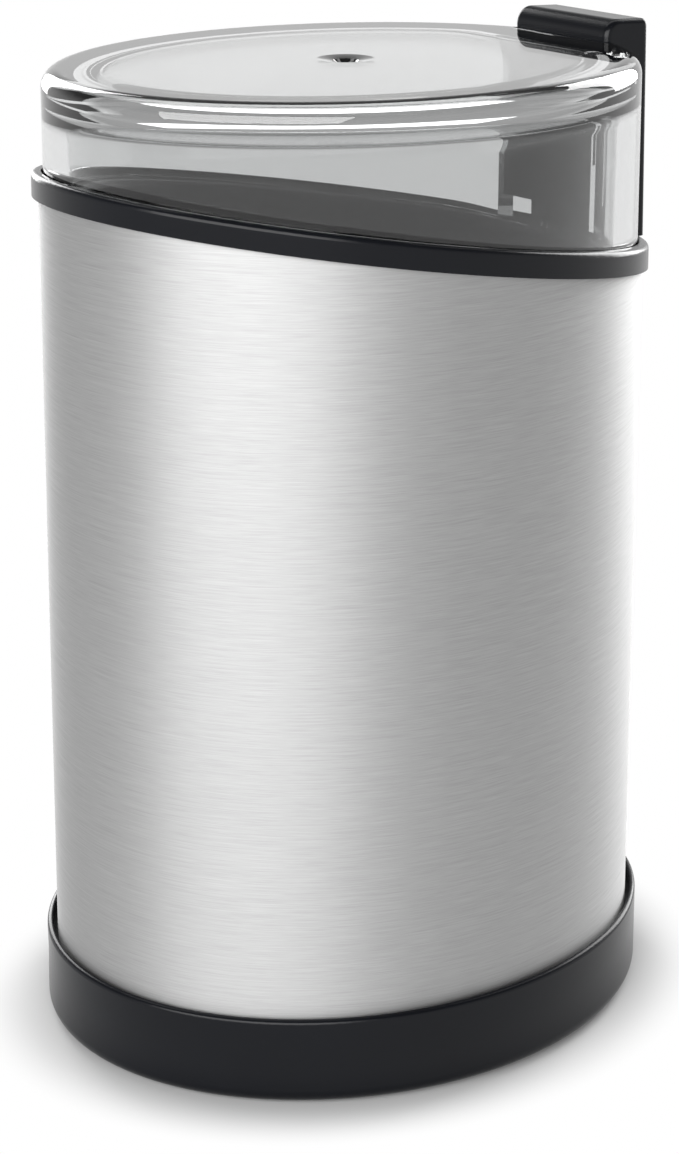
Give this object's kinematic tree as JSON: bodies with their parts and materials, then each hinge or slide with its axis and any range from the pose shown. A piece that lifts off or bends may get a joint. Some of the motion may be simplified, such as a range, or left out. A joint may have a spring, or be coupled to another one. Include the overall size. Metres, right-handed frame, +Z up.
{
  "type": "electric coffee grinder",
  "caption": "Blade coffee grinder with an oval steel body, a sloping black rim, a clear lift-off lid and a push button in the lid that starts the motor and blade.",
  "frame": {"origin": "on the table under the middle of the oval body", "axes": "+Z up, +X towards the push button along the oval's long axis, -Y the plain front of the sleeve"},
  "size_m": [0.1137, 0.0956, 0.1711],
  "materials": {
    "brushed_stainless": "brushed stainless steel, strokes run round the body",
    "pressed_stainless": "pressed stainless steel, bright",
    "black_abs": "moulded black ABS, satin gloss",
    "clear_plastic": "clear moulded plastic, polished",
    "grey_nylon": "moulded grey nylon",
    "switch_resin": "moulded phenolic resin",
    "black_rubber": "moulded black rubber",
    "plated_steel": "zinc plated steel",
    "lamination_steel": "stacked electrical steel",
    "copper_wire": "enamelled copper wire",
    "copper_bars": "turned copper",
    "cast_aluminium": "die-cast aluminium",
    "sintered_bronze": "sintered bronze",
    "brass_sheet": "stamped brass",
    "carbon": "pressed carbon"
  },
  "bodies": {
    "housing": {"steel_sleeve": "brushed_stainless", "grinding_bowl": "pressed_stainless", "rim_collar": "black_abs", "base_shell": "black_abs", "inner_housing": "grey_nylon", "switch_case": "switch_resin", "rubber_feet": "black_rubber", "bowl_gasket": "black_rubber", "shaft_seal": "black_rubber", "motor_mounts": "black_rubber", "cord_gland": "black_rubber", "base_screws": "plated_steel", "motor_bolts": "plated_steel", "motor_nuts": "plated_steel", "mount_screws": "plated_steel", "brush_springs": "plated_steel", "plunger_spring": "plated_steel", "lever_pin": "plated_steel", "switch_screws": "plated_steel", "stator_core": "lamination_steel", "field_coils": "copper_wire", "upper_bridge": "cast_aluminium", "lower_bridge": "cast_aluminium", "upper_bearing": "sintered_bronze", "lower_bearing": "sintered_bronze", "brush_holders": "brass_sheet", "switch_terminals": "brass_sheet", "carbon_brushes": "carbon"},
    "rotor": {"motor_shaft": "plated_steel", "armature_core": "lamination_steel", "armature_windings": "copper_wire", "commutator": "copper_bars", "thrust_washers": "plated_steel", "blade_spacer": "pressed_stainless", "blade": "pressed_stainless", "blade_nut": "pressed_stainless"},
    "lid": {"lid": "clear_plastic"},
    "button": {"push_button": "black_abs"},
    "plunger": {"switch_plunger": "black_abs"},
    "lever": {"switch_lever": "plated_steel"},
    "key": {"switch_key": "switch_resin"}
  },
  "joints": [
    {"name": "rotor_spin", "type": "hinge", "parent": "housing", "child": "rotor", "pos_m": [0, 0, 0.06], "axis": [0, 0, 1], "continuous": true},
    {"name": "lid_lift", "type": "slide", "parent": "housing", "child": "lid", "axis": [0, 0, 1], "range_m": [0, 0.07]},
    {"name": "button_press", "type": "slide", "parent": "lid", "child": "button", "axis": [0, 0, -1], "range_m": [0, 0.003], "stiffness_N_per_m": 600, "springref_m": -0.002},
    {"name": "plunger_press", "type": "slide", "parent": "housing", "child": "plunger", "axis": [0, 0, -1], "range_m": [0, 0.0031], "deforming": ["plunger_spring"]},
    {"name": "lever_turn", "type": "hinge", "parent": "housing", "child": "lever", "pos_m": [0.04747, -0.009, 0.10503], "axis": [-1, 0, 0], "range_deg": [0, 19.5]},
    {"name": "key_press", "type": "slide", "parent": "housing", "child": "key", "axis": [0, 0, -1], "range_m": [0, 0.00125]}
  ],
  "couplings": [
    {"joint": "plunger_press", "follows": "button_press", "ratio": 1},
    {"joint": "lever_turn", "follows": "button_press", "rad_per_m": 111.11},
    {"joint": "key_press", "follows": "button_press", "ratio": 0.4}
  ]
}
